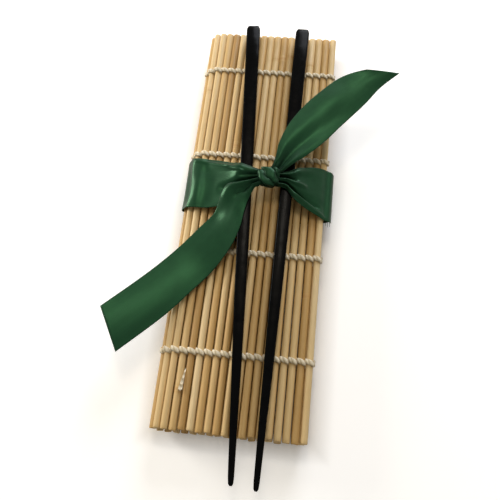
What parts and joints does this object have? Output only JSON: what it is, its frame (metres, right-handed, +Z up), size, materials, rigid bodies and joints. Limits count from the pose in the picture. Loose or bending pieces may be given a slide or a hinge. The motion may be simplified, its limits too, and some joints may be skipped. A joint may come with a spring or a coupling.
{
  "type": "sushi rolling mat",
  "caption": "Bamboo rolling mat of thin round slats twined together with cotton string, rolled flat and tied with a satin ribbon that holds two chopsticks on top.",
  "frame": {"origin": "on the table, under the middle of the bottom layer of the rolled mat", "axes": "+Y along the slats towards the chopsticks' thick ends, +X across the slats towards the free edge of the top layer, +Z up"},
  "size_m": [0.1278, 0.2308, 0.0323],
  "materials": {
    "bamboo": "bare, satin",
    "cotton": "twisted string",
    "lacquer": "black lacquer, satin gloss",
    "satin": "satin weave"
  },
  "bodies": {
    "top_layer": {"top_slats": "bamboo", "top_string_1": "cotton", "top_string_2": "cotton", "top_string_3": "cotton", "top_string_4": "cotton", "loose_string_end": "cotton"},
    "left_bend_1": {"left_bend_slat_1": "bamboo", "left_bend_stitches_1": "cotton"},
    "left_bend_2": {"left_bend_slat_2": "bamboo", "left_bend_stitches_2": "cotton"},
    "left_bend_3": {"left_bend_slat_3": "bamboo", "left_bend_stitches_3": "cotton"},
    "left_bend_4": {"left_bend_slat_4": "bamboo", "left_bend_stitches_4": "cotton"},
    "bottom_layer": {"bottom_slats": "bamboo", "bottom_string_1": "cotton", "bottom_string_2": "cotton", "bottom_string_3": "cotton", "bottom_string_4": "cotton"},
    "right_bend_1": {"right_bend_slat_1": "bamboo", "right_bend_stitches_1": "cotton"},
    "right_bend_2": {"right_bend_slat_2": "bamboo", "right_bend_stitches_2": "cotton"},
    "inner_flap": {"inner_slats": "bamboo", "inner_string_1": "cotton", "inner_string_2": "cotton", "inner_string_3": "cotton", "inner_string_4": "cotton"},
    "chopstick_left": {"chopstick_left": "lacquer"},
    "chopstick_right": {"chopstick_right": "lacquer"},
    "ribbon": {"ribbon_band": "satin", "ribbon_knot": "satin", "ribbon_tail_left": "satin", "ribbon_tail_right": "satin"}
  },
  "joints": [
    {"name": "unroll", "type": "hinge", "parent": "top_layer", "child": "left_bend_1", "pos_m": [-0.03, 0, 0.01394], "axis": [0, 1, 0], "range_deg": [0, 36], "deforming": ["ribbon_band", "ribbon_knot", "ribbon_tail_left", "ribbon_tail_right"]},
    {"name": "unroll_left_2", "type": "hinge", "parent": "left_bend_1", "child": "left_bend_2", "pos_m": [-0.03303, 0, 0.01174], "axis": [0, 1, 0], "range_deg": [0, 36]},
    {"name": "unroll_left_3", "type": "hinge", "parent": "left_bend_2", "child": "left_bend_3", "pos_m": [-0.03419, 0, 0.00817], "axis": [0, 1, 0], "range_deg": [0, 36]},
    {"name": "unroll_left_4", "type": "hinge", "parent": "left_bend_3", "child": "left_bend_4", "pos_m": [-0.03303, 0, 0.0046], "axis": [0, 1, 0], "range_deg": [0, 36]},
    {"name": "unroll_left_5", "type": "hinge", "parent": "left_bend_4", "child": "bottom_layer", "pos_m": [-0.03, 0, 0.0024], "axis": [0, 1, 0], "range_deg": [0, 36]},
    {"name": "unroll_right_1", "type": "hinge", "parent": "bottom_layer", "child": "right_bend_1", "pos_m": [0.03, 0, 0.0024], "axis": [0, 1, 0], "range_deg": [0, 60]},
    {"name": "unroll_right_2", "type": "hinge", "parent": "right_bend_1", "child": "right_bend_2", "pos_m": [0.03188, 0, 0.00565], "axis": [0, 1, 0], "range_deg": [0, 60]},
    {"name": "unroll_right_3", "type": "hinge", "parent": "right_bend_2", "child": "inner_flap", "pos_m": [0.03, 0, 0.0089], "axis": [0, 1, 0], "range_deg": [0, 60]},
    {"name": "pull_left_chopstick", "type": "slide", "parent": "top_layer", "child": "chopstick_left", "axis": [-0.0645, 0.9979, 0], "range_m": [0, 0.16]},
    {"name": "pull_right_chopstick", "type": "slide", "parent": "top_layer", "child": "chopstick_right", "axis": [0.0052, 1, 0], "range_m": [0, 0.16]},
    {"name": "slide_ribbon_off", "type": "slide", "parent": "top_layer", "child": "ribbon", "axis": [0, -1, 0], "range_m": [0, 0.17], "deforming": ["ribbon_band", "ribbon_knot", "ribbon_tail_left", "ribbon_tail_right"]}
  ],
  "couplings": [
    {"joint": "unroll_left_2", "follows": "unroll", "ratio": 1},
    {"joint": "unroll_left_3", "follows": "unroll", "ratio": 1},
    {"joint": "unroll_left_4", "follows": "unroll", "ratio": 1},
    {"joint": "unroll_left_5", "follows": "unroll", "ratio": 1},
    {"joint": "unroll_right_1", "follows": "unroll", "ratio": 1.6667},
    {"joint": "unroll_right_2", "follows": "unroll", "ratio": 1.6667},
    {"joint": "unroll_right_3", "follows": "unroll", "ratio": 1.6667}
  ]
}
